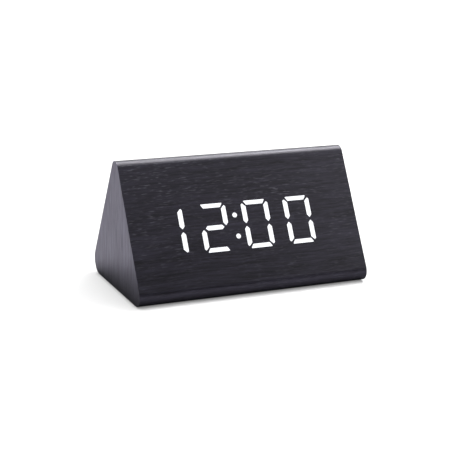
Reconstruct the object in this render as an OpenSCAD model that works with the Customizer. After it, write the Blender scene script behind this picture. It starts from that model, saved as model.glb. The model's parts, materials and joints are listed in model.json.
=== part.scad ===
// Triangular wooden alarm clock with a lit four-digit display behind its wood-grain film.
// Millimetres, +Z up. The display faces -Y, the buttons and the battery door face +Y.
// The origin is under the middle of the body, at the bottom of its feet.

/* [Body] */
// Length of the body, end face to end face
body_w = 130; // [126:1:150]
// Depth of the section's triangle before its corners are rounded
section_w = 81.7; // [80:0.1:90]
// Height of the section's triangle before its corners are rounded
section_h = 73.7; // [72:0.1:82]
// Rounding along the top edge
top_r = 5; // [3:0.5:6]
// Rounding along the front edge
front_r = 5.5; // [3:0.5:6]
// Rounding along the back edge
back_r = 7.5; // [4:0.5:7.5]
// Thickness of the fibreboard walls
board_t = 6; // [5:0.5:6]
// Thickness of the end blocks
end_t = 8; // [6:0.5:8]
// Thickness of the wood-grain film
film_t = 0.3; // [0.2:0.05:0.4]
// Thickness of the foot pads
foot_h = 0.4; // [0.4:0.1:2]

/* [Display] */
// Width of one digit
digit_w = 15.5; // [14:0.1:17]
// Height of one digit
digit_h = 25.8; // [22:0.1:28]
// Distance from one digit to the next
digit_pitch = 24.4; // [22:0.1:25]
// Place of the colon along the body, from the middle
display_x = -5.8; // [-6:0.1:0]
// Height of the display's middle up the front face
display_v = 39.2; // [36:0.1:42]

/* [Controls] */
// Diameter of a button's cap
button_d = 6.6; // [5:0.1:7]
// Travel of a button
button_travel = 0.5; // [0.3:0.05:0.8]
// How far a button stands out of the back cover
button_rise = 0.6; // [0.2:0.1:1.2]
// Travel of the sound switch's knob
switch_travel = 2; // [1.5:0.1:2.2]

/* [Batteries] */
// Diameter of one cell
cell_d = 10.4; // [10:0.1:10.5]
// Length of one cell with its nub
cell_l = 44.5; // [43.5:0.1:44.5]
// Distance from one cell to the next
cell_pitch = 11; // [10.8:0.1:11]

/* [Hidden] */

// How far a cut runs past the face that it opens, and how deep joined solids run into each other.
past = 1;
bite = 0.01;

// The section, and the frames of its sloping faces.
base_angle = atan(section_h / (section_w / 2));
inradius = section_w / 2 * tan(base_angle / 2);
incentre = [0, inradius];
arc_steps = 24;
front_reach = -section_w / 2 + front_r / tan(base_angle / 2) - front_r;
back_reach = section_w / 2 - back_r / tan(base_angle / 2) + back_r;
centre_shift = -(front_reach + back_reach) / 2;
wall_in = film_t + board_t;
tube_w = body_w - 2 * film_t - 2 * end_t;
pilot_r = 1;
dowel_depth = 3.8;
dowel_r = 1.5;
dowel_l = 10;
foot_d = 9;
foot_edge = 0.1;
foot_x = 54;
foot_y_front = -26;
foot_y_back = 22;

// A digit's strokes: how its uprights and bars are mitred at a corner, and how they meet in the middle.
stroke_v = 2.6;
stroke_h = 2.25;
middle_h = 2.4;
mitre_x = 0.8;
mitre_y = 1.3;
flank_y = 2;
bar_in = 1.55;
bar_slant = 0.65;
waist_gap = 0.7;
waist_slope = 1.55;
middle_in = 2.45;
middle_slant = 1.35;
tip_r = 0.3;
dot_r = 1.3;
dot_v = 5.7;
digit_x = [for (i = [0:3]) (i - 1.5) * digit_pitch];
SEGMENTS = "abcdefg";
SHOWN = ["bc", "abged", "abcdef", "abcdef"];

// What stands behind the front film.
reflector_w = 91.6;
reflector_h = 32;
reflector_gap = 0.15;
diffuser_t = 1.5;
led_t = 0.7;
led_long = 1.6;
led_short = 1.2;
led_rows = [-7.8, -4.2, 4.2, 7.8];
led_dx = 2;
pcb_t = 1.6;
pcb_r = 1.5;
pcb_hole_r = 1.1;
display_board_w = 96;
display_board_h = 44;
display_screw_dx = 43;
display_screw_dv = 19.6;
pilot_depth = 3.6;
chip_lift = 0.15;
leg_w = 0.45;
leg_l = 1.1;
leg_rise_t = 0.3;
resistor_w = 1.25;
resistor_l = 2;
resistor_t = 0.5;
board_screw_l = 4.6;
screw_head_r = 1.9;
screw_head_h = 1.1;
screw_slot_w = 0.5;
screw_slot_l = 2.2;
screw_tip_r = 0.25;

// Plugs and the ribbon between the two boards.
ribbon_x = 29;
ribbon_w = 15;
ribbon_t = 1;
display_plug_v = 30;
main_plug_dv = -9;
plug_w = ribbon_w + 3;
plug_d = 4.6;
plug_l = 3.2;

// Back cover, and the hatch in the body that its bay passes through.
cover_w = 102;
cover_h = 44;
cover_v = 36;
cover_t = 2;
cover_r = 5;
cover_gap = 0.15;
cover_screw_x = 47.5;
cover_screw_dv = 16;
cover_screw_l = 5;
screw_hole_r = 1.15;
screw_sink_r = 2.1;
screw_sink = 1.2;
hatch_w = 88;
hatch_h = 37.8;
hatch_r = 1.5;

// Battery bay: its walls, its rim around the door, and the contacts and cells inside.
bay_x = 14;
bay_w = 50.4;
bay_h = 33.4;
bay_wall = 1.2;
rim_t = 1.6;
rim_w = 2;
rib_h = 2;
rib_t = 0.8;
rib_short = 14;
bay_floor_n = -13.4;
cell_n = bay_floor_n + cell_d / 2 + 0.15;
cell_side = [1, -1, 1];
nub_r = 1.9;
nub_l = 0.9;
sleeve_lip = 0.35;
contact_t = 0.4;
contact_w = 9;
contact_reach = 4.4;
tab_w = 2;
tab_out = 1.9;
tab_slot_w = 2.6;
tab_slot_h = 1.6;
spring_l = bay_w - 2 * contact_t - cell_l;
spring_wire = 0.7;
spring_turns = 4;
spring_big_r = 3.9;
spring_small_r = 2.4;
dead_coil = 0.18;

// Battery door: hinge lugs along its lower edge, a latch tab with a grip at its upper edge.
door_w = 52.2;
door_h = 34.6;
door_t = 1.85;
door_r = 0.6;
door_gap = 0.2;
lug_w = 5;
lug_dx = 15;
lug_root = 1.5;
lug_reach = 0.7;
lug_drop = 1.35;
lug_slot_gap = 0.4;
latch_w = 11;
latch_slot = 0.8;
latch_slot_l = 8;
latch_hook = 1.6;
grip_v = 3.2;
grip_h = 4.2;
grip_deep = 0.6;
grip_pitch = 1.25;
arrow_v = -5;
arrow_pitch = 1.8;
arrow_bars = 5;

// Control side: the main board behind the cover, and what stands on it.
button_x = -36;
button_dv = [12, 0, -12];
panel_gap = 0.2;
cap_edge = 0.4;
stem_r = 1.8;
mark_depth = 0.25;
mark_r = 1.5;
dot_mark_r = 1.1;
board_n = -8.5;
back_n = board_n - pcb_t;
main_board_x = -29;
main_board_w = 28;
main_board_h = 34;
tact_w = 6;
tact_h = 3.5;
tact_base = 0.5;
tact_well_r = 2.5;
tact_well_h = 1.2;
dome_r = 2.4;
dome_t = 0.15;
dome_h = 0.3;
plunger_r = 1.7;
plunger_top_n = -4;
plunger_foot_n = board_n + tact_base + dome_t + dome_h + button_travel + 0.15;
flange_top_n = -cover_t - 0.1;
flange_t = 1;
flange_r = button_d / 2 + 1;
boss_r = 2.5;
boss_pilot_r = 0.8;
boss_places = [[-40.8, -6], [-17.8, 6.5]];
control_x = -23;
switch_dv = 12;
switch_w = 8.6;
switch_d = 3.8;
switch_h = 3.4;
knob_w = 1.5;
knob_gap = 0.1;
knob_top_n = -0.5;
finger_deep = 0.7;
mic_dv = 2;
mic_r = 3;
mic_h = 2.7;
mic_hole_r = 0.8;
socket_dv = -11;
socket_mouth_n = -0.9;
socket_floor_n = -6.4;
socket_sheet = 0.35;

// Names a place on the sloping faces: x along the body, v up the slope, n outwards.
module in_body() { translate([0, centre_shift, foot_h]) children(); }
module on_front() { in_body() translate([0, -section_w / 2, 0]) rotate([base_angle, 0, 0]) children(); }
module on_back() { in_body() translate([0, section_w / 2, 0]) rotate([base_angle, 0, 180]) children(); }
module on_display() { on_front() translate([display_x, display_v, 0]) children(); }
module on_cover(x, dv) { on_back() translate([x, cover_v + dv, 0]) children(); }
module along_x(length, x = 0) {
    translate([x - length / 2, 0, 0]) rotate([90, 0, 90]) linear_extrude(length) children();
}

function unit(v) = v / norm(v);
// Corner i of a convex outline, drawn as an arc from one side's tangent point to the next one's.
function corner_arc(before, corner, after, r, steps) =
    let (u = unit(before - corner), w = unit(after - corner), half = acos(u * w) / 2,
         centre = corner + unit(u + w) * r / sin(half), start = corner + u * r / tan(half) - centre,
         from = atan2(start[1], start[0]))
    [for (k = [0:steps]) let (a = from + (180 - 2 * half) * k / steps) centre + r * [cos(a), sin(a)]];
function rounded(points, radii, steps) =
    let (count = len(points))
    [for (i = [0:count - 1])
        let (before = points[(i + count - 1) % count], after = points[(i + 1) % count])
        each corner_arc(before, points[i], after, radii[i], steps)];
function corners_of(w, h) = [[-w / 2, -h / 2], [w / 2, -h / 2], [w / 2, h / 2], [-w / 2, h / 2]];
function same(r, count) = [for (i = [1:count]) r];

// A flat plate between two depths, with rounded corners if r is over 0.
module plate(w, h, n0, n1, r = 0) {
    outline = corners_of(w, h);
    translate([0, 0, n0]) linear_extrude(n1 - n0)
        polygon(r > 0 ? rounded(outline, same(r, 4), 6) : outline);
}
module rod(r, n0, n1) { translate([0, 0, n0]) cylinder(r = r, h = n1 - n0, $fn = 48); }

// The section's outline, moved inwards.
function section_corners(inset) =
    [for (c = [[-section_w / 2, 0], [section_w / 2, 0], [0, section_h]])
        incentre + (c - incentre) * (1 - inset / inradius)];
corner_radii = [front_r, back_r, top_r];
corner_halves = [base_angle / 2, base_angle / 2, 90 - base_angle];
function section(inset) =
    rounded(section_corners(inset), [for (r = corner_radii) max(r - inset, 1)], arc_steps);
// A point inside each rounded corner, some way in from its surface.
function corner_points(depth) =
    [for (i = [0:2])
        let (corner = section_corners(0)[i], r = corner_radii[i])
        corner + unit(incentre - corner) * (r / sin(corner_halves[i]) - r + depth)];

// One segment of a digit, about the digit's middle, as a convex outline that turns left.
function upright(w, h) =
    let (left = -w / 2, top = h / 2, shoulder = waist_gap + waist_slope)
    [[left, top - flank_y], [left, shoulder], [left + stroke_v / 2, waist_gap], [left + stroke_v, shoulder],
     [left + stroke_v, top - mitre_y - (stroke_v - mitre_x)], [left + mitre_x, top - mitre_y]];
function bar(w, h) =
    let (outer = w / 2 - bar_in, inner = outer - stroke_h * bar_slant, top = h / 2)
    [[-inner, top - stroke_h], [inner, top - stroke_h], [outer, top], [-outer, top]];
function middle(w) =
    let (tip = w / 2 - middle_in, shoulder = tip - middle_slant, rise = middle_h / 2)
    [[-tip, 0], [-shoulder, -rise], [shoulder, -rise], [tip, 0], [shoulder, rise], [-shoulder, rise]];
function flipped(points, sx, sy) =
    let (moved = [for (p = points) [p[0] * sx, p[1] * sy]])
    sx * sy > 0 ? moved : [for (i = [len(moved) - 1:-1:0]) moved[i]];
function segment(letter) =
    letter == "a" ? bar(digit_w, digit_h) :
    letter == "b" ? flipped(upright(digit_w, digit_h), -1, 1) :
    letter == "c" ? flipped(upright(digit_w, digit_h), -1, -1) :
    letter == "d" ? flipped(bar(digit_w, digit_h), 1, -1) :
    letter == "e" ? flipped(upright(digit_w, digit_h), 1, -1) :
    letter == "f" ? upright(digit_w, digit_h) : middle(digit_w);
module segment_prism(letter, n0, n1) {
    outline = segment(letter);
    translate([0, 0, n0]) linear_extrude(n1 - n0) polygon(rounded(outline, same(tip_r, len(outline)), 3));
}
module digit_prisms(i, letters, n0, n1) {
    on_display() translate([digit_x[i], 0, 0]) for (letter = letters) segment_prism(letter, n0, n1);
}
module colon_prisms(n0, n1) {
    on_display() for (side = [-1, 1]) translate([0, side * dot_v, 0]) rod(dot_r, n0, n1);
}
module shown_prisms(n0, n1) {
    for (i = [0:3]) digit_prisms(i, SHOWN[i], n0, n1);
    colon_prisms(n0, n1);
}
module all_prisms(n0, n1) {
    for (i = [0:3]) digit_prisms(i, SEGMENTS, n0, n1);
    colon_prisms(n0, n1);
}

// ---- Casing ----
module wrap_film() {
    color("#2f2e35") difference() {
        in_body() along_x(body_w - 2 * film_t) difference() {
            polygon(section(0));
            polygon(section(film_t));
        }
        shown_prisms(-film_t - past, past);
        on_cover(0, 0) plate(cover_w, cover_h, -film_t - past, past, cover_r);
    }
}
module end_film(side) {
    color("#6f6d7a") in_body() along_x(film_t, side * (body_w - film_t) / 2) polygon(section(0));
}
module body_tube() {
    color("#b08a5a") difference() {
        in_body() along_x(tube_w) difference() {
            polygon(section(film_t));
            polygon(section(wall_in));
        }
        on_display()
            plate(reflector_w + 2 * reflector_gap, reflector_h + 2 * reflector_gap, -wall_in - past, past);
        display_screw_places() rod(pilot_r, -wall_in - past, -wall_in + pilot_depth);
        on_cover(0, 0) {
            plate(cover_w + 2 * cover_gap, cover_h + 2 * cover_gap, -cover_t, past, cover_r);
            plate(hatch_w, hatch_h, -wall_in - past, past, hatch_r);
        }
        cover_screw_places() rod(pilot_r, -wall_in - past, 0);
        dowel_rods();
    }
}
module end_block(side) {
    color("#a88456") difference() {
        in_body() along_x(end_t, side * (tube_w + end_t) / 2) polygon(section(film_t));
        dowel_rods();
    }
}
module dowel_rods() {
    for (side = [-1, 1], place = corner_points(dowel_depth))
        in_body() translate([side * tube_w / 2, place[0], place[1]]) rotate([0, 90, 0])
            rod(dowel_r, -dowel_l / 2, dowel_l / 2);
}
module dowels() { color("#d8b98a") dowel_rods(); }
module foot(side, y) {
    color("#202022") translate([side * foot_x, centre_shift + y, 0]) {
        cylinder(r1 = foot_d / 2 - foot_edge, r2 = foot_d / 2, h = foot_edge, $fn = 48);
        rod(foot_d / 2, foot_edge, foot_h);
    }
}

// ---- Display ----
module digit_light(i) { color("white") digit_prisms(i, SHOWN[i], -film_t, 0); }
module colon_light() { color("white") colon_prisms(-film_t, 0); }
module display_reflector() {
    color("#1c1c1e") difference() {
        on_display() plate(reflector_w, reflector_h, -wall_in, -film_t);
        all_prisms(-wall_in - past, past);
    }
}
module display_diffusers() { color("#eceff2") all_prisms(-film_t - diffuser_t, -film_t); }
// Two small lamps behind each segment, and one behind each dot.
module display_leds() {
    across = digit_w / 2 - stroke_v / 2;
    bar_rows = [for (side = [-1:1]) side * (digit_h / 2 - stroke_h / 2)];
    top_n = -wall_in + led_t;
    color("#f4e9a8") on_display() {
        for (x0 = digit_x) translate([x0, 0, 0]) {
            for (sx = [-1, 1], v = led_rows) translate([sx * across, v, 0])
                plate(led_short, led_long, -wall_in, top_n);
            for (sx = [-1, 1], v = bar_rows) translate([sx * led_dx, v, 0])
                plate(led_long, led_short, -wall_in, top_n);
        }
        for (side = [-1, 1]) translate([0, side * dot_v, 0]) plate(led_short, led_short, -wall_in, top_n);
    }
}
module display_board() {
    color("#1f6b3a") difference() {
        on_display() plate(display_board_w, display_board_h, -wall_in - pcb_t, -wall_in, pcb_r);
        display_screw_places() rod(pcb_hole_r, -wall_in - pcb_t - past, -wall_in + past);
    }
}
module display_screw_places() {
    on_display() for (sx = [-1, 1], sv = [-1, 1])
        translate([sx * display_screw_dx, sv * display_screw_dv, 0]) children();
}
module display_screws() {
    color("silver") display_screw_places() screw(-wall_in - pcb_t, board_screw_l, -1, pilot_r);
}
// A chip on the inner side of a board whose inner face is at n: a body with a row of legs along each side.
module chip(w, h, t, legs, n) {
    span = w - 1.4;
    mirror([0, 0, 1]) translate([0, 0, -n]) {
        plate(w, h, chip_lift, t);
        for (i = [0:legs - 1], side = [-1, 1])
            translate([-span / 2 + span * i / (legs - 1), side * (h + leg_l) / 2, 0]) {
                plate(leg_w, leg_l, 0, chip_lift);
                translate([0, side * (leg_rise_t - leg_l) / 2, 0]) plate(leg_w, leg_rise_t, chip_lift, t / 2);
            }
    }
}
module display_driver() {
    color("#26272a") on_display() translate([-14, 0, 0]) chip(17.9, 7.5, 2.4, 14, -wall_in - pcb_t);
}
module display_resistors() {
    color("#34353a") on_display() for (i = [0:7]) translate([-26 + 3.4 * i, 11, 0])
        plate(resistor_w, resistor_l, -wall_in - pcb_t - resistor_t, -wall_in - pcb_t);
}

// ---- Connectors and ribbon between the two boards ----
module display_connector() {
    color("#f1ead8") on_front() translate([ribbon_x, display_plug_v, 0])
        plate(plug_w, plug_d, -wall_in - pcb_t - plug_l, -wall_in - pcb_t, 0.4);
}
module main_connector() {
    color("#f1ead8") on_cover(-ribbon_x, main_plug_dv) plate(plug_w, plug_d, back_n - plug_l, back_n, 0.4);
}
function on_front_2d(v, n) =
    [-section_w / 2 + v * cos(base_angle) - n * sin(base_angle), v * sin(base_angle) + n * cos(base_angle)];
function on_back_2d(v, n) =
    [section_w / 2 - v * cos(base_angle) + n * sin(base_angle), v * sin(base_angle) + n * cos(base_angle)];
function bezier(p, t) =
    p[0] * pow(1 - t, 3) + 3 * p[1] * t * pow(1 - t, 2) + 3 * p[2] * t * t * (1 - t) + p[3] * pow(t, 3);
function bezier_way(p, t) =
    unit(3 * (p[1] - p[0]) * pow(1 - t, 2) + 6 * (p[2] - p[1]) * t * (1 - t) + 3 * (p[3] - p[2]) * t * t);
module ribbon_cable() {
    steps = 24;
    reach = 12;
    front_n = -wall_in - pcb_t - plug_l;
    rear_n = back_n - plug_l;
    rear_v = cover_v + main_plug_dv;
    path = [on_front_2d(display_plug_v, front_n), on_front_2d(display_plug_v, front_n - reach),
            on_back_2d(rear_v, rear_n - reach), on_back_2d(rear_v, rear_n)];
    edge = function (t, side)
        let (way = bezier_way(path, t)) bezier(path, t) + side * ribbon_t / 2 * [-way[1], way[0]];
    outline = concat([for (i = [0:steps]) edge(i / steps, -1)], [for (i = [steps:-1:0]) edge(i / steps, 1)]);
    color("#9aa0a8") in_body() along_x(ribbon_w, ribbon_x) polygon(outline);
}

// ---- Back cover, battery bay and door ----
module cover_screw_places() {
    for (sx = [-1, 1], sv = [-1, 1]) on_cover(sx * cover_screw_x, sv * cover_screw_dv) children();
}
module back_cover() {
    color("#232326") difference() {
        union() {
            on_cover(0, 0) plate(cover_w, cover_h, -cover_t, 0, cover_r);
            on_cover(bay_x, 0) {
                plate(bay_w + 2 * bay_wall, bay_h + 2 * bay_wall, bay_floor_n - bay_wall, -cover_t, 1);
                plate(bay_w + 2 * rim_w, bay_h + 2 * rim_w, -cover_t - rim_t, -cover_t);
            }
            board_screw_places() rod(boss_r, board_n, -cover_t);
        }
        bay_cuts();
        control_cuts();
        board_screw_places() rod(boss_pilot_r, board_n - past, -cover_t - past);
        cover_screw_places() {
            rod(screw_hole_r, -cover_t - past, past);
            rod(screw_sink_r, -screw_sink, past);
        }
    }
}
// The bay's hollow with ribs between its cells, the door's recess, and the slots for its lugs and latch.
module bay_cuts() {
    on_cover(bay_x, 0) {
        difference() {
            plate(bay_w, bay_h, bay_floor_n, past);
            for (side = [-1, 1]) translate([0, side * cell_pitch / 2, 0])
                plate(bay_w - rib_short, rib_t, bay_floor_n - past, bay_floor_n + rib_h);
        }
        plate(door_w + 2 * door_gap, door_h + 2 * door_gap, -cover_t, past);
        for (sx = [-1, 1]) translate([sx * lug_dx, -(bay_h + rim_w) / 2, 0])
            plate(lug_w + 2 * lug_slot_gap, rim_w + 2 * bite, -door_t - lug_drop - door_gap, -cover_t);
        translate([0, bay_h / 2 + rim_w / 4, 0])
            plate(latch_w - 1.2, rim_w / 2 + 2 * bite, -door_t - latch_hook - 2 * door_gap, past);
    }
    for (side = [-1, 1])
        on_cover(bay_x + side * (bay_w + bay_wall) / 2, side * cell_pitch)
            plate(bay_wall + 2 * bite, tab_slot_w, cell_n - tab_slot_h / 2, cell_n + tab_slot_h / 2);
}
// Holes for the buttons, the sound switch, the microphone and the power plug.
module control_cuts() {
    for (dv = button_dv) on_cover(button_x, dv) rod(button_d / 2 + panel_gap, -cover_t - past, past);
    on_cover(control_x, switch_dv) {
        plate(switch_travel + knob_w + 1.1, knob_w + 0.9, -cover_t - past, past, 0.4);
        plate(switch_travel + 6, 5, -finger_deep, past, 1);
    }
    on_cover(control_x, mic_dv) rod(mic_hole_r, -cover_t - past, past);
    on_cover(control_x, socket_dv) plate(8.6, 3.7, -cover_t - past, past, 0.8);
}
module board_screw_places() { for (place = boss_places) on_cover(place[0], place[1]) children(); }
// A pan-head screw whose head stands on depth n. way is 1 for a head that faces outwards, -1 inwards.
module screw(n, length, way, shank_r) {
    rim = screw_head_h * 0.6;
    mirror([0, 0, way < 0 ? 1 : 0]) translate([0, 0, way * n]) {
        difference() {
            union() {
                rod(screw_head_r, 0, rim);
                translate([0, 0, rim])
                    cylinder(r1 = screw_head_r, r2 = screw_head_r * 0.72, h = screw_head_h - rim, $fn = 48);
            }
            for (turn = [0, 90]) rotate([0, 0, turn])
                plate(screw_slot_l, screw_slot_w, screw_head_h - 0.7, screw_head_h + past);
        }
        rod(shank_r, -length + 1, 0);
        translate([0, 0, -length]) cylinder(r1 = screw_tip_r, r2 = shank_r, h = 1, $fn = 48);
    }
}
module back_cover_screws() {
    color("silver") cover_screw_places() screw(-screw_sink, cover_screw_l, 1, pilot_r);
}
module battery_door() {
    color("#29292c") on_cover(bay_x, 0) {
        difference() {
            plate(door_w, door_h, -door_t, 0, door_r);
            for (sx = [-1, 1]) translate([sx * latch_w / 2, (door_h - latch_slot_l) / 2, 0])
                plate(latch_slot, latch_slot_l + 2 * bite, -door_t - past, past);
            translate([0, door_h / 2 - grip_v, 0]) plate(latch_w - 2.6, grip_h, -grip_deep, past, 1);
            for (i = [0:arrow_bars - 1]) translate([0, arrow_v - arrow_pitch * i, 0])
                plate(14 - 2.4 * i, 0.7, -0.4, past);
        }
        for (i = [-1:1]) translate([0, door_h / 2 - grip_v + grip_pitch * i, 0])
            plate(latch_w - 4, 0.4, -grip_deep - 0.1, -0.15);
        translate([0, (door_h - 1) / 2, 0]) plate(latch_w - 2, 1, -door_t - latch_hook, -door_t + bite);
        for (sx = [-1, 1]) translate([sx * lug_dx, -door_h / 2, 0]) {
            translate([0, lug_root / 2, 0]) plate(lug_w, lug_root, -door_t - lug_drop, -door_t + bite);
            translate([0, (0.2 - lug_reach) / 2, 0])
                plate(lug_w, lug_reach + 0.2, -door_t - lug_drop, -cover_t - door_gap);
        }
    }
}
// Puts a piece's +Z along a cell's own way, from the contact plate at its spring's end.
module along_cell(i) {
    on_cover(bay_x, (i - 2) * cell_pitch) translate([0, 0, cell_n]) rotate([0, 90 * cell_side[i - 1], 0])
        translate([0, 0, -bay_w / 2 + contact_t]) children();
}
module battery(i) {
    sleeve_r = cell_d / 2;
    shoulder = cell_l - nub_l;
    color("#3d6b8c") along_cell(i) translate([0, 0, spring_l]) rotate_extrude($fn = 64) polygon([
        [0, 0], [sleeve_r - 0.9, 0], [sleeve_r - 0.9, 0.3], [sleeve_r - sleeve_lip, 0.3],
        [sleeve_r, 0.3 + sleeve_lip], [sleeve_r, shoulder - 0.5 - sleeve_lip],
        [sleeve_r - sleeve_lip, shoulder - 0.5], [sleeve_r - 1, shoulder - 0.5], [sleeve_r - 1.3, shoulder],
        [nub_r, shoulder], [nub_r, cell_l - 0.2], [nub_r - 0.2, cell_l], [0, cell_l]]);
}
// A tube of round wire along a list of points: rings square to the path, joined side to side.
function way_at(path, i) = unit(path[min(i + 1, len(path) - 1)] - path[max(i - 1, 0)]);
function ring_at(path, i, r, sides, up) =
    let (way = way_at(path, i), across = unit(cross(way, up)), over = cross(across, way))
    [for (k = [0:sides - 1]) path[i] + r * (across * cos(360 * k / sides) + over * sin(360 * k / sides))];
module wire(path, r, sides, up) {
    rings = len(path);
    skin = [for (i = [0:rings - 2], k = [0:sides - 1])
        let (next = (k + 1) % sides, a = i * sides, b = a + sides)
        each [[a + k, a + next, b + next], [a + k, b + next, b + k]]];
    polyhedron(
        points = [for (i = [0:rings - 1]) each ring_at(path, i, r, sides, up)],
        faces = concat([[for (k = [sides - 1:-1:0]) k]], skin,
                       [[for (k = [0:sides - 1]) (rings - 1) * sides + k]]),
        convexity = 8);
}
// A conical coil that lies flat at both ends.
function spring_path(turns, steps) =
    [for (i = [0:turns * steps])
        let (t = i / (turns * steps), angle = 360 * i / steps,
             r = spring_big_r + (spring_small_r - spring_big_r) * t,
             rise = min(max((t - dead_coil) / (1 - 2 * dead_coil), 0), 1))
        [r * cos(angle), r * sin(angle), spring_wire / 2 + (spring_l - spring_wire) * rise]];
module battery_spring(i) {
    color("#c9ccd1") along_cell(i) wire(spring_path(spring_turns, 16), spring_wire / 2, 6, [0, 0, 1]);
}
// Contact plates: a terminal at each outer cell, and a bridge at each end from one cell to the next.
module contact_plates() {
    tab_l = bay_wall + tab_out;
    color("#d5d7da") for (side = [-1, 1]) {
        on_cover(bay_x + side * (bay_w - contact_t) / 2, side * cell_pitch) {
            plate(contact_t, contact_w, cell_n - contact_reach, cell_n + contact_reach);
            translate([side * (contact_t + tab_l) / 2, 0, 0])
                plate(tab_l, tab_w, cell_n - contact_t / 2, cell_n + contact_t / 2);
        }
        on_cover(bay_x + side * (bay_w - contact_t) / 2, -side * cell_pitch / 2)
            plate(contact_t, cell_pitch + contact_w, cell_n - contact_reach, cell_n + contact_reach);
    }
}

// ---- Leads from the bay's terminals to the main board ----
// Points that a lead passes, in the back face's own frame, with v from the cover's middle.
black_route = [[-13.5, -11, -8.25], [-13.5, -11, -9.5], [-13.5, -11, -11], [-14.6, -9.6, -13],
               [-16.6, -6.6, -13.6], [-18.4, -3.8, -13], [-18.8, -2.4, -11.8], [-18.8, -2.4, -11],
               [-18.8, -2.4, -10.1]];
red_route = [[41.5, 11, -8.25], [41.5, 11, -10.5], [41.5, 11, -13], [40.9, 10.8, -15.2],
             [38.6, 10.4, -16.3], [30, 9.6, -16.4], [18, 8.6, -16.6], [6, 9.4, -16.4], [-5, 10.4, -16.2],
             [-12.6, 10.9, -15.6], [-16, 11, -14], [-17, 11, -12], [-17, 11, -11], [-17, 11, -10.1]];
lead_r = 0.6;
function smooth_point(a, b, c, d, t) =
    (2 * b + (c - a) * t + (2 * a - 5 * b + 4 * c - d) * t * t + (3 * b - a - 3 * c + d) * pow(t, 3)) / 2;
function smooth(route, steps) =
    let (last = len(route) - 1)
    concat([for (i = [0:last - 1], k = [0:steps - 1])
        smooth_point(route[max(i - 1, 0)], route[i], route[i + 1], route[min(i + 2, last)], k / steps)],
        [route[last]]);
module lead(route) { on_cover(0, 0) wire(smooth(route, 3), lead_r, 8, [0, 1, 0.2]); }
module red_lead() { color("#b3261e") lead(red_route); }
module black_lead() { color("#1a1a1a") lead(black_route); }

// ---- Main board and what stands on it ----
module main_board() {
    color("#1f6b3a") difference() {
        on_cover(main_board_x, 0) plate(main_board_w, main_board_h, back_n, board_n, 1);
        board_screw_places() rod(boss_pilot_r + 0.1, back_n - past, board_n + past);
    }
}
module main_board_screws() {
    color("silver") board_screw_places() screw(back_n, board_screw_l, -1, boss_pilot_r);
}
module controller_chip() { color("#26272a") on_cover(-33, 4) chip(10.3, 7.5, 2.3, 8, back_n); }
module quartz_crystal() {
    crystal_r = 1;
    crystal_l = 6;
    color("#cfd2d6") on_cover(-38.5, -2.6) translate([0, 0, back_n - crystal_r - 0.05]) rotate([0, 90, 0])
        rod(crystal_r, -crystal_l / 2, crystal_l / 2);
}
module capacitors() {
    color("#2b3550") for (x = [-39.5, -33.5]) on_cover(x, 13.4) rod(2.5, back_n - 5.4, back_n);
}
module board_resistors() {
    color("#34353a") for (i = [0:3]) on_cover(-25.2, -3 + 2.4 * i)
        plate(resistor_l, resistor_w, back_n - resistor_t, back_n);
}
module buzzer() {
    buzzer_r = 4.5;
    buzzer_h = 4;
    vent_r = 0.9;
    vent_depth = 1.6;
    color("#1d1d1f") on_cover(-25.2, 12.2) difference() {
        rod(buzzer_r, back_n - buzzer_h, back_n);
        rod(vent_r, back_n - buzzer_h - past, back_n - buzzer_h + vent_depth);
    }
}
module microphone() {
    lip = 0.3;
    color("#b9bcc1") on_cover(control_x, mic_dv) difference() {
        rod(mic_r, board_n, board_n + mic_h);
        rod(mic_r - 0.8, board_n + mic_h - lip, board_n + mic_h + past);
    }
}
module thermistor() {
    bead_r = 0.9;
    bead_n = board_n + 3.4;
    color("#3a2a20") on_cover(-18, -5) {
        translate([0, 0, bead_n]) sphere(r = bead_r, $fn = 24);
        for (sx = [-1, 1]) translate([sx * 0.4, 0, 0]) rod(0.2, board_n, bead_n);
    }
}
// The socket's opening, wider towards its top, as it is or grown all round by its sheet's thickness.
function socket_outline(grow) =
    let (half = 3.45 + grow, top = 0.95 + grow, low = 2.7 + grow * 0.7, bend = -0.2 - grow * 0.4)
    [[-low, -1 - grow], [low, -1 - grow], [half, bend], [half, top], [-half, top], [-half, bend]];
module power_socket() {
    color("#c3c6cb") on_cover(control_x, socket_dv) difference() {
        translate([0, 0, board_n]) linear_extrude(socket_mouth_n - board_n)
            polygon(socket_outline(socket_sheet));
        translate([0, 0, socket_floor_n]) linear_extrude(socket_mouth_n - socket_floor_n + past)
            polygon(socket_outline(0));
    }
}
module power_socket_tongue() {
    color("#1b1b1d") on_cover(control_x, socket_dv + 0.35)
        plate(4, 0.6, socket_floor_n, socket_mouth_n - 0.8);
}

// ---- Buttons and sound switch ----
module tact_switches() {
    color("#3b3b3f") for (dv = button_dv) on_cover(button_x, dv) difference() {
        plate(tact_w, tact_w, board_n, board_n + tact_h, 0.3);
        rod(plunger_r + 0.1, board_n + tact_base, 0);
        rod(tact_well_r, board_n + tact_base, board_n + tact_base + tact_well_h);
    }
}
module switch_domes() {
    floor_n = board_n + tact_base;
    color("#d0d2d6") for (dv = button_dv) on_cover(button_x, dv) {
        rod(dome_r, floor_n, floor_n + dome_t);
        translate([0, 0, floor_n + dome_t])
            cylinder(r1 = dome_r - 0.2, r2 = dome_r - 1, h = dome_h, $fn = 48);
    }
}
module plunger(dv) { color("#55565b") on_cover(button_x, dv) rod(plunger_r, plunger_foot_n, plunger_top_n); }
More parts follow.
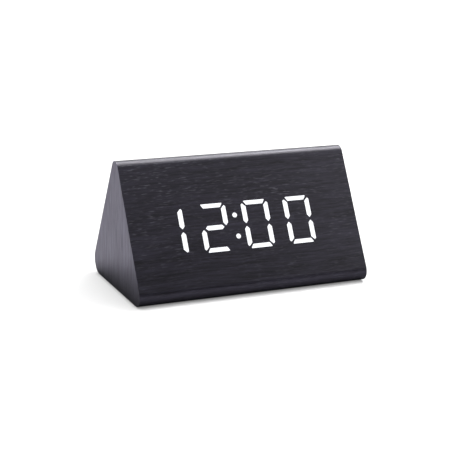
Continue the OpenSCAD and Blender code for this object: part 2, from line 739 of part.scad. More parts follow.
// A button's cap. mark is 1 for a triangle that points up, -1 for one that points down, 0 for a round dot.
module cap(dv, mark) {
    color("#34353a") on_cover(button_x, dv) difference() {
        union() {
            rod(stem_r, plunger_top_n, flange_top_n - flange_t);
            rod(flange_r, flange_top_n - flange_t, flange_top_n);
            rod(button_d / 2, flange_top_n, button_rise - cap_edge);
            translate([0, 0, button_rise - cap_edge])
                cylinder(r1 = button_d / 2, r2 = button_d / 2 - cap_edge, h = cap_edge, $fn = 48);
        }
        if (mark == 0) rod(dot_mark_r, button_rise - mark_depth, button_rise + past);
        else translate([0, 0, button_rise - mark_depth]) linear_extrude(past)
            polygon([for (a = [0:120:240]) mark_r * mark * [-sin(a), cos(a)]]);
    }
}
module sound_switch() {
    color("#b9bcc1") on_cover(control_x, switch_dv) difference() {
        plate(switch_w, switch_d, board_n, board_n + switch_h, 0.2);
        plate(switch_travel + knob_w + 0.3, knob_w + 2 * knob_gap, board_n + 1.2, board_n + switch_h + past);
    }
}
module sound_switch_knob() {
    color("#e9e9ea") on_cover(control_x - switch_travel / 2, switch_dv)
        plate(knob_w, knob_w, board_n + 1.4, knob_top_n);
}

wrap_film();
end_film(-1);  // left_end_film
end_film(1);  // right_end_film
body_tube();
end_block(-1);  // left_end_block
end_block(1);  // right_end_block
dowels();
foot(-1, foot_y_front);  // foot_front_left
foot(1, foot_y_front);  // foot_front_right
foot(-1, foot_y_back);  // foot_back_left
foot(1, foot_y_back);  // foot_back_right
digit_light(0);  // hour_tens_light
digit_light(1);  // hour_units_light
colon_light();
digit_light(2);  // minute_tens_light
digit_light(3);  // minute_units_light
display_reflector();
display_diffusers();
display_leds();
display_board();
display_driver();
display_resistors();
display_connector();
display_screws();
ribbon_cable();
back_cover();
back_cover_screws();
battery_door();
battery(1);  // battery_1
battery(2);  // battery_2
battery(3);  // battery_3
battery_spring(1);  // battery_spring_1
battery_spring(2);  // battery_spring_2
battery_spring(3);  // battery_spring_3
contact_plates();
red_lead();
black_lead();
main_board();
controller_chip();
quartz_crystal();
capacitors();
board_resistors();
main_connector();
buzzer();
microphone();
thermistor();
main_board_screws();
power_socket();
power_socket_tongue();
tact_switches();
switch_domes();
cap(button_dv[0], 0);  // set_button
cap(button_dv[1], 1);  // up_button
cap(button_dv[2], -1);  // down_button
plunger(button_dv[0]);  // set_plunger
plunger(button_dv[1]);  // up_plunger
plunger(button_dv[2]);  // down_plunger
sound_switch();
sound_switch_knob();
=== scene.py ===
"""The looks of a triangular wood-grain alarm clock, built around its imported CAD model.

Metres, +Z up. The lit display faces -Y, and the back cover with its buttons and battery door faces +Y.
"""

import json
from math import atan, cos, pi, radians, sin, tan

import bmesh
import bpy
from mathutils import Matrix, Vector

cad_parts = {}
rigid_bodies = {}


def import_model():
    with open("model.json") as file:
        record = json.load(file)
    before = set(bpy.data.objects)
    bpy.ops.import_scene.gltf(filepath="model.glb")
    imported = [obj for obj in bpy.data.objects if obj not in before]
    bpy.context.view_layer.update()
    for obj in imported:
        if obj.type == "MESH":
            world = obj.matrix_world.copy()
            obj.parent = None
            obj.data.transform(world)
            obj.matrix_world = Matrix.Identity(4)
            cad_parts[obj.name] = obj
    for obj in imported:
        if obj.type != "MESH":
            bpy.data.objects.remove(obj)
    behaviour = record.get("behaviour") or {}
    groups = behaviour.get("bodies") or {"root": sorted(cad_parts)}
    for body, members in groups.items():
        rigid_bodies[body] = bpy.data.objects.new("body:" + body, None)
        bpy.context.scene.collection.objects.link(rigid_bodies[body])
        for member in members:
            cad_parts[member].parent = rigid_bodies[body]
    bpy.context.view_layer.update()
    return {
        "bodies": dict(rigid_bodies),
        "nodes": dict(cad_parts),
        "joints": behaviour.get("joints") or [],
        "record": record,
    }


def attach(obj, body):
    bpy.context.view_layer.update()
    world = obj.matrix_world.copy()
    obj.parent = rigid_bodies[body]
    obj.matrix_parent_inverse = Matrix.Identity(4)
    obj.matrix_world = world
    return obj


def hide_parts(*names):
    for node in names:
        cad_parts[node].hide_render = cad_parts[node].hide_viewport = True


MM = 0.001

# The CAD model's driving dimensions that the pieces made here share.
SECTION_W = 81.7 * MM
SECTION_H = 73.7 * MM
FRONT_R = 5.5 * MM
BACK_R = 7.5 * MM
FOOT_H = 0.4 * MM
COVER_V = 36 * MM
DISPLAY_V = 39.2 * MM
BAY_X = 14 * MM
BAY_W = 50.4 * MM
CELL_PITCH = 11 * MM
CELL_N = -8.05 * MM
CONTACT_T = 0.4 * MM
SPRING_L = 5.1 * MM
SPRING_BIG_R = 3.9 * MM
SPRING_SMALL_R = 2.4 * MM
SPRING_TURNS = 4
WIRE = 0.7 * MM
BASE_ANGLE = atan(SECTION_H / (SECTION_W / 2))
CORNER_REACH = 1 / tan(BASE_ANGLE / 2) - 1
CENTRE_SHIFT = (FRONT_R - BACK_R) * -CORNER_REACH / 2

# Where some CAD nodes change from one material to another, in the front's or the cover's own frame.
CHIP_LEGS_FROM = 3.76 * MM
MAIN_CHIP_V = 4 * MM
CELL_END_R = 4.4 * MM
MICROPHONE = Vector((-23, 2)) * MM
MICROPHONE_FELT_R = 2.1 * MM
THERMISTOR_LEGS_N = -6.1 * MM
SWITCH_TOP_N = -5.2 * MM
RESISTOR_BODY = 1.3 * MM
DISPLAY_RESISTOR_V = DISPLAY_V + 11 * MM
MAIN_RESISTOR_X = -25.2 * MM
CAPACITOR_STRIPE = (14.7 * MM, 16.5 * MM)
GOLD_UP = (26 * MM, 60 * MM)
GOLD_DOWN = (-30 * MM, 2 * MM)
# A face counts as facing an axis when its normal's part along it is over this.
FACING = 0.7
CELL_END_FACING = 0.35

# Colours that more than one material uses.
GOLD = (0.62, 0.42, 0.12)
NAVY = (0.03, 0.10, 0.22)
PAPER = (0.62, 0.62, 0.62)

# About half the size of the underside's flat part, around which the floor changes.
UNDERSIDE = (64 * MM, 29.5 * MM, 0)

# The view: where the camera looks, from which direction, and how far away it stands.
LOOK_AT = Vector((-2.746, 0.698, 29.13)) * MM
AZIMUTH = radians(-23.943)
ELEVATION = radians(15.035)
ROLL = radians(0.947)
DISTANCE = 660.16 * MM
LENS = 97.88
SENSOR = 36


def on_front():
    """The front face's own frame: x along the body, y up the slope from the lower edge, z outwards."""
    foot = Matrix.Translation((0, CENTRE_SHIFT - SECTION_W / 2, FOOT_H))
    return foot @ Matrix.Rotation(BASE_ANGLE, 4, "X")


def on_back():
    """The back cover's own frame: x to the right as seen from behind, y up the slope, z outwards."""
    foot = Matrix.Translation((0, CENTRE_SHIFT + SECTION_W / 2, FOOT_H))
    turn = Matrix.Rotation(pi, 4, "Z") @ Matrix.Rotation(BASE_ANGLE, 4, "X")
    return foot @ turn @ Matrix.Translation((0, COVER_V, 0))


# ---- Materials ----
class Finish:
    """One material: a Principled shader, with short calls for the nodes that feed it.

    Patterns are placed in the object's own space, which is the CAD frame. Their sizes are in metres.
    """

    def __init__(self, name, colour, roughness, **sockets):
        self.made = bpy.data.materials.new(name)
        self.made.use_nodes = True
        self.tree = self.made.node_tree
        self.shader = self.tree.nodes["Principled BSDF"]
        self.set("Base Color", (*colour, 1))
        self.set("Roughness", roughness)
        for socket, value in sockets.items():
            self.set(socket.replace("_", " "), value)

    def set(self, socket, value):
        """Gives one of the shader's sockets a value, or the output that feeds it."""
        if isinstance(value, bpy.types.NodeSocket):
            self.tree.links.new(value, self.shader.inputs[socket])
        else:
            self.shader.inputs[socket].default_value = value

    def node(self, kind, inputs, **settings):
        made = self.tree.nodes.new("ShaderNode" + kind)
        for key, value in settings.items():
            setattr(made, key, value)
        for key, value in inputs.items():
            if isinstance(value, bpy.types.NodeSocket):
                self.tree.links.new(value, made.inputs[key])
            else:
                made.inputs[key].default_value = value
        return made

    def place(self, size, turn=(0, 0, 0), at=(0, 0, 0)):
        """Object coordinates in cells of this size, in a frame turned and placed in the object."""
        size = size if hasattr(size, "__len__") else (size,) * 3
        where = self.node("TexCoord", {}).outputs["Object"]
        inputs = {"Vector": where, "Location": at, "Rotation": turn, "Scale": size}
        return self.node("Mapping", inputs, vector_type="TEXTURE").outputs["Vector"]

    def place_in(self, frame, size):
        """Coordinates in a sloping frame of the object, divided into cells of this size."""
        return self.place(size, tuple(frame.to_euler()), tuple(frame.translation))

    def noise(self, where, detail=2.0, rough=0.5):
        inputs = {"Vector": where, "Scale": 1.0, "Detail": detail, "Roughness": rough}
        return self.node("TexNoise", inputs).outputs["Fac"]

    def cells(self, where, distance="EUCLIDEAN"):
        inputs = {"Vector": where, "Scale": 1.0}
        return self.node("TexVoronoi", inputs, distance=distance).outputs["Distance"]

    def math(self, operation, first, second=0.0):
        made = self.node("Math", {0: first, 1: second}, operation=operation)
        return made.outputs[0]

    def vector(self, operation, first, second=(0, 0, 0), output="Vector"):
        return self.node("VectorMath", {0: first, 1: second}, operation=operation).outputs[output]

    def shifted(self, where, offset, axis):
        """Moves a place along one axis by a pattern's value."""
        parts = self.node("CombineXYZ", {axis: offset}).outputs["Vector"]
        return self.vector("ADD", where, parts)

    def band(self, value, low, high, to_low=0.0, to_high=1.0):
        """Stretches the band from low to high over to_low to to_high, and clamps it."""
        inputs = {"Value": value, "From Min": low, "From Max": high,
                  "To Min": to_low, "To Max": to_high}
        return self.node("MapRange", inputs, clamp=True).outputs["Result"]

    def mix(self, amount, first, second, mode="MIX"):
        """Blends two colours. A colour is three numbers or an output."""
        made = self.tree.nodes.new("ShaderNodeMix")
        made.data_type = "RGBA"
        made.blend_type = mode
        for key, value in ((0, amount), (6, first), (7, second)):
            if isinstance(value, bpy.types.NodeSocket):
                self.tree.links.new(value, made.inputs[key])
            else:
                made.inputs[key].default_value = (*value, 1) if hasattr(value, "__len__") else value
        return made.outputs[2]

    def bump(self, height, depth, strength=1.0):
        inputs = {"Height": height, "Distance": depth, "Strength": strength}
        self.set("Normal", self.node("Bump", inputs).outputs["Normal"])
        return self


def wood_film(name, run, dark, fleck, spread, amount, painted_shade_height):
    """Black vinyl printed and pressed with wood grain. run is the axis that the grain follows.

    spread is how much the tone varies, amount how strong the flecks are, and the last argument the
    height under which the film's colour is darkened towards the table, as painted contact shade.
    """
    def along(length, width):
        return tuple(length if axis == run else width for axis in "XYZ")

    film = Finish(name, dark, 0.36, Specular_Tint=(0.92, 0.885, 1.0, 1))
    drift = film.noise(film.place(along(110 * MM, 30 * MM)), 1.0)
    offset = film.band(drift, 0.25, 0.75, -1.8 * MM, 1.8 * MM)
    across = "Y" if run == "Z" else "Z"

    def grain(length, width, detail=2.0, rough=0.5):
        where = film.place(along(length, width))
        where = film.shifted(where, film.math("DIVIDE", offset, width), across)
        return film.noise(where, detail, rough)

    pores = film.band(grain(3.8 * MM, 0.6 * MM, 1.0), 0.57, 0.72)
    fine = grain(11 * MM, 0.75 * MM, 2.0, 0.6)
    streak = grain(40 * MM, 1.5 * MM)
    broad = grain(90 * MM, 8 * MM)
    height = film.node("SeparateXYZ", {0: film.place(1.0)}).outputs["Z"]
    patches = film.band(film.noise(film.place(along(34 * MM, 15 * MM))), 0.40, 0.60, 0.2, 1.0)
    patches = film.math("MULTIPLY", patches, film.band(height, 22 * MM, 52 * MM, 0.45, 1.0))
    flecks = film.math("MULTIPLY", film.math("MULTIPLY", pores, patches), amount)
    tone = film.math("ADD", film.band(fine, 0.3, 0.7, -0.42 * spread, 0.42 * spread),
                     film.band(streak, 0.3, 0.7, 1 - 0.26 * spread, 1 + 0.26 * spread))
    tone = film.math("ADD", tone, film.band(broad, 0.3, 0.7, -0.12 * spread, 0.12 * spread))
    tone = film.math("MAXIMUM", tone, 0.1)
    # Painted shade: the ground colour darkens to 30 percent at the foot, standing for the shade near
    # the table.
    tone = film.math("MULTIPLY", tone, film.band(height, 0.5 * MM, painted_shade_height, 0.3, 1.0))
    grey = film.node("CombineColor", {0: tone, 1: tone, 2: tone}).outputs[0]
    film.set("Base Color", film.mix(flecks, film.mix(1.0, dark, grey, "MULTIPLY"), fleck))
    gloss = film.math("ADD", fine, film.math("MULTIPLY", flecks, 0.4))
    film.set("Roughness", film.band(gloss, 0.3, 0.7, 0.42, 0.34))
    relief = film.math("SUBTRACT", film.math("MULTIPLY", fine, 0.35), pores)
    return film.bump(relief, 0.03 * MM, 0.45).made


def moulded(name, colour, roughness=0.5, grit=0.35 * MM, depth=0.02 * MM, gloss=0.5):
    """Moulded plastic with a fine spark texture, and a faint cloud in its gloss."""
    plastic = Finish(name, colour, roughness, Specular_IOR_Level=gloss)
    cloud = plastic.noise(plastic.place(6 * MM), 3.0)
    plastic.set("Roughness", plastic.band(cloud, 0.3, 0.7, roughness - 0.06, roughness + 0.06))
    light = tuple(min(1.0, c * 1.18 + 0.002) for c in colour)
    plastic.set("Base Color", plastic.mix(plastic.band(cloud, 0.35, 0.65), colour, light))
    return plastic.bump(plastic.noise(plastic.place(grit), 2.0), depth, 0.5).made


def metal(name, colour, roughness=0.28, streak=(0.2 * MM, 3 * MM, 3 * MM)):
    """Plated or drawn metal with faint brush lines."""
    plate = Finish(name, colour, roughness, Metallic=1.0)
    lines = plate.noise(plate.place(streak), 3.0, 0.6)
    plate.set("Roughness", plate.band(lines, 0.3, 0.7, roughness - 0.08, roughness + 0.1))
    dull = tuple(c * 0.82 for c in colour)
    plate.set("Base Color", plate.mix(plate.band(lines, 0.3, 0.7), dull, colour))
    return plate.bump(lines, 0.01 * MM, 0.3).made


def lit_film(name):
    """Film with a lit segment right behind it."""
    glow = Finish(name, (0.3, 0.31, 0.33), 0.35)
    glow.set("Emission Color", (0.97, 0.985, 1.0, 1))
    glow.set("Emission Strength", 0.98)
    return glow.made


def fibreboard(name):
    """Sawn and sanded fibreboard: short pale and dark fibres in a soft brown body."""
    board = Finish(name, (0.36, 0.24, 0.13), 0.85)
    fibres = board.noise(board.place((1.6 * MM, 0.35 * MM, 0.35 * MM)), 4.0, 0.7)
    clouds = board.noise(board.place(9 * MM), 3.0)
    brown = board.mix(board.band(fibres, 0.3, 0.7), (0.25, 0.155, 0.08), (0.47, 0.33, 0.19))
    patchy = board.band(clouds, 0.3, 0.7, 0.0, 0.35)
    board.set("Base Color", board.mix(patchy, brown, (0.30, 0.20, 0.11)))
    return board.bump(fibres, 0.08 * MM, 0.6).made


def beech(name):
    """Turned beech with fine darker flecks along its length."""
    wood = Finish(name, (0.62, 0.45, 0.27), 0.6)
    rays = wood.band(wood.noise(wood.place((2.4 * MM, 0.3 * MM, 0.3 * MM)), 2.0), 0.56, 0.68)
    rings = wood.noise(wood.place((12 * MM, 1.1 * MM, 1.1 * MM)), 2.0)
    body = wood.mix(wood.band(rings, 0.3, 0.7), (0.56, 0.39, 0.22), (0.68, 0.50, 0.31))
    wood.set("Base Color", wood.mix(rays, body, (0.40, 0.25, 0.13)))
    return wood.bump(rings, 0.05 * MM, 0.4).made


def circuit_board(name, frame):
    """Green solder mask over tracks, with small tinned vias, in a sloping board's own frame."""
    board = Finish(name, (0.02, 0.15, 0.06), 0.35)
    tracks = board.cells(board.place_in(frame, 3.1 * MM), distance="CHEBYCHEV")
    lines = board.math("MULTIPLY", board.band(tracks, 0.36, 0.38), board.band(tracks, 0.44, 0.42))
    links = board.cells(board.place_in(frame, (7 * MM, 1.3 * MM, 5 * MM)), distance="CHEBYCHEV")
    lines = board.math("MAXIMUM", lines, board.band(links, 0.10, 0.07))
    vias = board.band(board.cells(board.place_in(frame, 2.6 * MM)), 0.11, 0.09)
    green = board.mix(lines, (0.015, 0.115, 0.045), (0.035, 0.22, 0.085))
    board.set("Base Color", board.mix(vias, green, (0.72, 0.70, 0.64)))
    board.set("Metallic", vias)
    return board.bump(board.math("ADD", lines, vias), 0.03 * MM, 0.5).made


def banded(name, frame, axis, edges, inside, outside, roughness=0.4, metallic=0.0):
    """Two colours, split where a coordinate of a sloping frame passes the edges (low, high).

    metallic is how metallic the outside is.
    """
    piece = Finish(name, outside, roughness)
    place = piece.node("SeparateXYZ", {0: piece.place_in(frame, 1.0)}).outputs[axis]
    soft = 0.03 * MM
    within = piece.math("MULTIPLY", piece.band(place, edges[0] - soft, edges[0] + soft),
                        piece.band(place, edges[1] + soft, edges[1] - soft))
    piece.set("Base Color", piece.mix(within, outside, inside))
    piece.set("Metallic", piece.math("MULTIPLY", piece.math("SUBTRACT", 1.0, within), metallic))
    return piece.made


def resistor(name, frame, axis, middle):
    """Chip resistors side by side: black bodies between tinned ends."""
    edges = (middle - RESISTOR_BODY / 2, middle + RESISTOR_BODY / 2)
    return banded(name, frame, axis, edges, (0.02, 0.02, 0.025), (0.74, 0.73, 0.70), 0.35, 1.0)


def ribbed(name, colour, pitch):
    """Flat cable of moulded-together wires that run side by side along X."""
    cable = Finish(name, colour, 0.5)
    across = cable.node("SeparateXYZ", {0: cable.place(1.0)}).outputs["X"]
    wave = cable.math("ABSOLUTE", cable.math("SINE", cable.math("MULTIPLY", across, pi / pitch)))
    # Painted shade: the valleys between the wires are darker than the vinyl.
    valley_shade = tuple(c * 0.45 for c in colour)
    cable.set("Base Color", cable.mix(cable.band(wave, 0.0, 0.4), valley_shade, colour))
    return cable.bump(wave, 0.4 * MM, 1.0).made


# ---- Shading of the CAD's own meshes ----
def smooth_group(name, limit):
    """Geometry nodes that join split points and shade smooth, except along edges sharper than limit."""
    group = bpy.data.node_groups.new(name, "GeometryNodeTree")
    group.interface.new_socket("Geometry", in_out="INPUT", socket_type="NodeSocketGeometry")
    group.interface.new_socket("Geometry", in_out="OUTPUT", socket_type="NodeSocketGeometry")
    nodes, links = group.nodes, group.links
    source = nodes.new("NodeGroupInput")
    merge = nodes.new("GeometryNodeMergeByDistance")
    merge.inputs["Distance"].default_value = 0.001 * MM
    faces = nodes.new("GeometryNodeSetShadeSmooth")
    edges = nodes.new("GeometryNodeSetShadeSmooth")
    edges.domain = "EDGE"
    angle = nodes.new("GeometryNodeInputMeshEdgeAngle")
    compare = nodes.new("FunctionNodeCompare")
    compare.operation = "LESS_THAN"
    compare.inputs["B"].default_value = limit
    result = nodes.new("NodeGroupOutput")
    links.new(source.outputs[0], merge.inputs["Geometry"])
    links.new(merge.outputs["Geometry"], faces.inputs["Geometry"])
    links.new(faces.outputs["Geometry"], edges.inputs["Geometry"])
    links.new(angle.outputs["Unsigned Angle"], compare.inputs["A"])
    links.new(compare.outputs["Result"], edges.inputs["Shade Smooth"])
    links.new(edges.outputs["Geometry"], result.inputs[0])
    return group


def bare(piece):
    """Drops the normals that the mesh came with."""
    normals = piece.data.attributes.get("custom_normal")
    if normals:
        piece.data.attributes.remove(normals)


def shade(piece, group):
    """Smooth shading that keeps flat faces flat."""
    bare(piece)
    piece.modifiers.new("smooth", "NODES").node_group = group
    weighted = piece.modifiers.new("flat", "WEIGHTED_NORMAL")
    weighted.keep_sharp = True
    weighted.weight = 100


def soften(piece, group, width):
    """Small rounded edges on a moulded piece, cut from its flat faces once they are whole again."""
    bare(piece)
    piece.modifiers.new("join", "NODES").node_group = group
    flat = piece.modifiers.new("flat", "DECIMATE")
    flat.decimate_type = "DISSOLVE"
    flat.angle_limit = radians(0.5)
    edge = piece.modifiers.new("edge", "BEVEL")
    edge.width = width
    edge.segments = 2
    edge.limit_method = "ANGLE"
    edge.angle_limit = radians(40)
    edge.use_clamp_overlap = True


def paint(piece, material, chosen):
    """Gives a second material to the faces whose centre and normal pass a test."""
    piece.data.materials.append(material)
    index = len(piece.data.materials) - 1
    for face in piece.data.polygons:
        if chosen(face.center, face.normal):
            face.material_index = index


def all_looks(front, back):
    """Every material that the CAD nodes wear, by its short name."""
    return {
        "film": wood_film("wrap_wood", "X", (0.0135, 0.0126, 0.0180), (0.085, 0.083, 0.097),
                          1.7, 0.75, 7 * MM),
        # The ends' ground colour is lighter than the wrap's: painted light, for the brighter sheen on
        # the ends.
        "end": wood_film("end_wood", "Z", (0.0220, 0.0212, 0.0285), (0.006, 0.006, 0.008),
                         2.4, 0.9, 16 * MM),
        "lit": lit_film("lit_segment"),
        "board": fibreboard("sanded_board"),
        "dowel": beech("beech"),
        "rubber": moulded("foot_rubber", (0.016, 0.016, 0.017), 0.8, 0.5 * MM, 0.03 * MM),
        "cover": moulded("cover_plastic", (0.016, 0.016, 0.018), 0.5, 0.3 * MM, 0.03 * MM, 0.25),
        "door": moulded("door_plastic", (0.019, 0.019, 0.021), 0.46, 0.3 * MM, 0.03 * MM, 0.3),
        "button": moulded("button_plastic", (0.030, 0.030, 0.033), 0.38, 0.5 * MM, 0.01 * MM, 0.35),
        "plain": moulded("plain_plastic", (0.05, 0.05, 0.055), 0.5),
        "mask": moulded("reflector_plastic", (0.022, 0.022, 0.024), 0.6),
        "milk": moulded("milky_resin", (0.78, 0.80, 0.82), 0.3, 0.6 * MM, 0.005 * MM),
        "phosphor": moulded("phosphor", (0.85, 0.70, 0.16), 0.35, 0.2 * MM, 0.01 * MM),
        "display_pcb": circuit_board("display_mask", front),
        "main_pcb": circuit_board("main_mask", back),
        "epoxy": moulded("chip_epoxy", (0.018, 0.018, 0.020), 0.55),
        "tin": metal("tinned_leg", (0.72, 0.71, 0.68), 0.3),
        "display_resistor": resistor("display_resistor", front, "Y", DISPLAY_RESISTOR_V),
        "main_resistor": resistor("main_resistor", back, "X", MAIN_RESISTOR_X),
        "nylon": moulded("plug_nylon", (0.80, 0.74, 0.58), 0.45),
        "steel": metal("zinc_plate", (0.46, 0.46, 0.48), 0.34, 1.2 * MM),
        "nickel": metal("nickel_sheet", (0.74, 0.72, 0.69), 0.2),
        "can": metal("drawn_can", (0.72, 0.72, 0.73), 0.24),
        "felt": moulded("felt", (0.010, 0.010, 0.011), 0.95, 0.15 * MM, 0.1 * MM),
        "ribbon": ribbed("ribbon_vinyl", (0.35, 0.37, 0.40), 1.25 * MM),
        "red": moulded("red_vinyl", (0.45, 0.02, 0.015), 0.35, 0.8 * MM, 0.01 * MM),
        "black": moulded("black_vinyl", (0.015, 0.015, 0.015), 0.35, 0.8 * MM, 0.01 * MM),
        "sleeve_up": banded("cell_sleeve_up", back, "X", GOLD_UP, GOLD, NAVY),
        "sleeve_down": banded("cell_sleeve_down", back, "X", GOLD_DOWN, GOLD, NAVY),
        "capacitor": banded("capacitor_sleeve", back, "Y", CAPACITOR_STRIPE,
                            (0.45, 0.46, 0.48), (0.016, 0.020, 0.036)),
        "bead": moulded("bead_epoxy", (0.05, 0.022, 0.010), 0.3, 0.8 * MM, 0.01 * MM),
        "knob": moulded("knob_plastic", (0.74, 0.74, 0.73), 0.42),
    }


def finish_nodes(nodes, looks):
    """Gives each CAD node its material and its shading."""
    shown = {
        "wrap_film": "film", "left_end_film": "end", "right_end_film": "end",
        "body_tube": "board", "left_end_block": "board", "right_end_block": "board", "dowels": "dowel",
        "display_reflector": "mask", "display_diffusers": "milk", "display_leds": "phosphor",
        "display_board": "display_pcb", "main_board": "main_pcb",
        "display_driver": "epoxy", "controller_chip": "epoxy",
        "display_resistors": "display_resistor", "board_resistors": "main_resistor",
        "display_connector": "nylon", "main_connector": "nylon", "ribbon_cable": "ribbon",
        "display_screws": "steel", "back_cover_screws": "steel", "main_board_screws": "steel",
        "back_cover": "cover", "battery_door": "door", "contact_plates": "nickel",
        "red_lead": "red", "black_lead": "black", "quartz_crystal": "can", "capacitors": "capacitor",
        "buzzer": "epoxy", "microphone": "can", "thermistor": "bead",
        "power_socket": "can", "power_socket_tongue": "epoxy",
        "tact_switches": "epoxy", "switch_domes": "nickel",
        "sound_switch": "can", "sound_switch_knob": "knob",
        "battery_1": "sleeve_up", "battery_2": "sleeve_down", "battery_3": "sleeve_up",
    }
    endings = {"_light": "lit", "_button": "button", "_plunger": "plain"}
    rounded = {"back_cover": 0.12, "battery_door": 0.12, "set_button": 0.1, "up_button": 0.1,
               "down_button": 0.1, "sound_switch_knob": 0.1, "power_socket": 0.06}
    crisp = smooth_group("crisp_edges", radians(28))
    soft = smooth_group("soft_edges", radians(62))
    for name, node in nodes.items():
        look = shown.get(name, "rubber" if name.startswith("foot_") else "plain")
        for ending, kind in endings.items():
            if name.endswith(ending):
                look = kind
        node.data.materials.clear()
        node.data.materials.append(looks[look])
        if name in rounded:
            soften(node, crisp, rounded[name] * MM)
        shade(node, soft if name.endswith("_lead") else crisp)


def paint_details(nodes, looks, front, back):
    """Gives the nodes that show two materials their second one."""
    def seen_from(frame, test):
        inverse = frame.inverted()
        turned = inverse.to_3x3()
        return lambda centre, normal: test(inverse @ centre, turned @ normal)

    for i in (1, 2, 3):
        middle = Vector((CELL_PITCH * (i - 2), CELL_N))
        paint(nodes[f"battery_{i}"], looks["can"], seen_from(
            back, lambda c, n: abs(n.x) > CELL_END_FACING or (c.yz - middle).length < CELL_END_R))
    paint(nodes["display_driver"], looks["tin"], seen_from(
        front, lambda c, n: abs(c.y - DISPLAY_V) > CHIP_LEGS_FROM))
    paint(nodes["controller_chip"], looks["tin"], seen_from(
        back, lambda c, n: abs(c.y - MAIN_CHIP_V) > CHIP_LEGS_FROM))
    paint(nodes["capacitors"], looks["can"], seen_from(back, lambda c, n: n.z < -FACING))
    paint(nodes["microphone"], looks["felt"], seen_from(
        back, lambda c, n: n.z > FACING and (c.xy - MICROPHONE).length < MICROPHONE_FELT_R))
    paint(nodes["thermistor"], looks["tin"], seen_from(back, lambda c, n: c.z < THERMISTOR_LEGS_N))
    paint(nodes["tact_switches"], looks["can"], seen_from(
        back, lambda c, n: n.z > FACING and c.z > SWITCH_TOP_N))


def spring(number, side, material):
    """A battery spring as a coil of round wire with flat ends, in place of the CAD's coarse one."""
    mesh = bmesh.new()
    start = -BAY_W / 2 + CONTACT_T
    turn = Matrix.Rotation(side * pi / 2, 4, "Y")
    at = on_back() @ Matrix.Translation((BAY_X, CELL_PITCH * (number - 2), CELL_N)) @ turn
    at = at @ Matrix.Translation((0, 0, start))
    steps, sides = 40, 12
    count = SPRING_TURNS * steps
    flat_end = 0.18
    wire_r = WIRE / 2 * 0.97

    def point(i):
        t = i / count
        radius = SPRING_BIG_R + (SPRING_SMALL_R - SPRING_BIG_R) * t
        rise = min(max((t - flat_end) / (1 - 2 * flat_end), 0), 1)
        angle = 2 * pi * i / steps
        height = WIRE / 2 + (SPRING_L - WIRE) * rise
        return Vector((radius * cos(angle), radius * sin(angle), height))

    rings = []
    for i in range(count + 1):
        here = point(i)
        way = (point(min(i + 1, count)) - point(max(i - 1, 0))).normalized()
        across = way.cross(Vector((0, 0, 1))).normalized()
        over = across.cross(way)
        rings.append([mesh.verts.new(at @ (here + wire_r * (across * cos(a) + over * sin(a))))
                      for a in (2 * pi * k / sides for k in range(sides))])
    for low, high in zip(rings, rings[1:]):
        for k in range(sides):
            mesh.faces.new((low[k], low[(k + 1) % sides], high[(k + 1) % sides], high[k]))
    mesh.faces.new(rings[0][::-1])
    mesh.faces.new(rings[-1])
    bmesh.ops.recalc_face_normals(mesh, faces=mesh.faces)
    data = bpy.data.meshes.new(f"coil_{number}")
    mesh.to_mesh(data)
    mesh.free()
    for face in data.polygons:
        face.use_smooth = len(face.vertices) == 4
    data.materials.append(material)
    coil = bpy.data.objects.new(f"coil_{number}", data)
    bpy.context.scene.collection.objects.link(coil)
    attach(coil, "casing")
    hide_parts(f"battery_spring_{number}")


# ---- Surroundings ----
def add_light(name, size, place, aim, power):
    """A soft rectangular light, aimed at a point."""
    data = bpy.data.lights.new(name, "AREA")
    data.shape = "RECTANGLE"
    data.size, data.size_y = size
    data.energy = power
    light = bpy.data.objects.new(name, data)
    light.location = place
    light.rotation_euler = (Vector(aim) - Vector(place)).to_track_quat("-Z", "Y").to_euler()
    bpy.context.scene.collection.objects.link(light)
    return light


def floor_paper():
    """White paper that throws less light back onto the clock close to it than further away.

    The camera sees it evenly coloured, with a glow of its own that grows from nothing at the
    clock's foot and keeps the paper white.
    """
    paper = Finish("floor_paper", PAPER, 0.9, Specular_IOR_Level=0.0)
    place = paper.vector("SUBTRACT", paper.vector("ABSOLUTE", paper.place(1.0)), UNDERSIDE)
    away = paper.vector("LENGTH", paper.vector("MAXIMUM", place), output="Value")
    lifted = paper.mix(paper.band(away, 0, 32 * MM), (0.11, 0.11, 0.12), (0.68, 0.66, 0.765))
    direct = paper.node("LightPath", {}).outputs["Is Camera Ray"]
    paper.set("Base Color", paper.mix(direct, lifted, PAPER))
    near = paper.band(away, 0, 3 * MM, 0, 0.3)
    glow = paper.math("ADD", near, paper.band(away, 0.25, 1.0, 0, 0.7))
    paper.set("Emission Color", (1, 1, 1, 1))
    paper.set("Emission Strength", paper.math("MULTIPLY", direct, glow))
    return paper.made


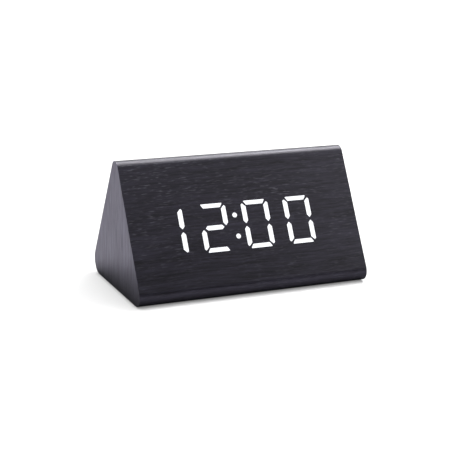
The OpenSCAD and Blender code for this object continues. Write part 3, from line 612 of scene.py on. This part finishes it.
def surroundings():
    """White floor and sky, and soft panels behind, overhead, at the right and in front.

    The sky is white to the camera and almost dark as a light. The panel over the back doesn't
    light the floor, and one more panel lights nothing but the floor.
    """
    scene = bpy.context.scene
    scene.view_settings.view_transform = "Standard"
    mesh = bpy.data.meshes.new("floor")
    half = 2.5
    corners = [(-half, -half, 0), (half, -half, 0), (half, half, 0), (-half, half, 0)]
    mesh.from_pydata(corners, [], [(0, 1, 2, 3)])
    floor = bpy.data.objects.new("floor", mesh)
    scene.collection.objects.link(floor)
    floor.data.materials.append(floor_paper())

    world = bpy.data.worlds.new("studio")
    scene.world = world
    world.use_nodes = True
    tree = world.node_tree
    sky = tree.nodes["Background"]
    sky.inputs["Color"].default_value = (1, 1, 1, 1)
    seen = tree.nodes.new("ShaderNodeLightPath").outputs["Is Camera Ray"]
    strength = tree.nodes.new("ShaderNodeMapRange")
    strength.inputs["To Min"].default_value = 0.02
    strength.inputs["To Max"].default_value = 1.0
    tree.links.new(seen, strength.inputs["Value"])
    tree.links.new(strength.outputs["Result"], sky.inputs["Strength"])

    add_light("back_low", (2.4, 0.9), (0.0, 1.3, 0.5), (0, 0, 0.1), 10.5)
    over_back = add_light("over_back", (1.0, 0.8), (0.1, 0.30, 0.95), (0.1, 0.30, 0), 18)
    add_light("over_right", (0.6, 0.6), (0.6, 0.15, 0.8), (0, 0, 0), 7.2)
    add_light("front_right", (0.35, 0.35), (0.45, -0.30, 0.32), (0.05, 0, 0.03), 0.45)
    add_light("front_top", (0.8, 0.4), (0.0, -0.5, 0.9), (0, 0, 0), 0.7)
    fill = add_light("floor_fill", (2.4, 2.4), (0.0, 0.2, 1.3), (0.0, 0.2, 0), 42)
    linked = ((fill, "only_floor", "INCLUDE"), (over_back, "not_floor", "EXCLUDE"))
    for light, name, state in linked:
        receivers = bpy.data.collections.new(name)
        receivers.objects.link(floor)
        receivers.collection_objects[0].light_linking.link_state = state
        light.light_linking.receiver_collection = receivers


def camera():
    data = bpy.data.cameras.new("camera")
    data.lens = LENS
    data.sensor_width = SENSOR
    data.clip_start, data.clip_end = 0.01, 50
    made = bpy.data.objects.new("camera", data)
    bpy.context.scene.collection.objects.link(made)
    bpy.context.scene.camera = made
    back = Vector((sin(AZIMUTH) * cos(ELEVATION), -cos(AZIMUTH) * cos(ELEVATION), sin(ELEVATION)))
    level = Vector((0, 0, 1)).cross(back).normalized()
    rise = back.cross(level)
    right = level * cos(ROLL) + rise * sin(ROLL)
    up = rise * cos(ROLL) - level * sin(ROLL)
    turn = Matrix((right, up, back)).transposed().to_4x4()
    made.matrix_world = Matrix.Translation(LOOK_AT + back * DISTANCE) @ turn


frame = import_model()
camera()
surroundings()
front, back = on_front(), on_back()
looks = all_looks(front, back)
finish_nodes(frame["nodes"], looks)
paint_details(frame["nodes"], looks, front, back)
# The coils wear the CAD model's own material for the springs.
for number, side in ((1, 1), (2, -1), (3, 1)):
    spring(number, side, bpy.data.materials["spring_wire"])
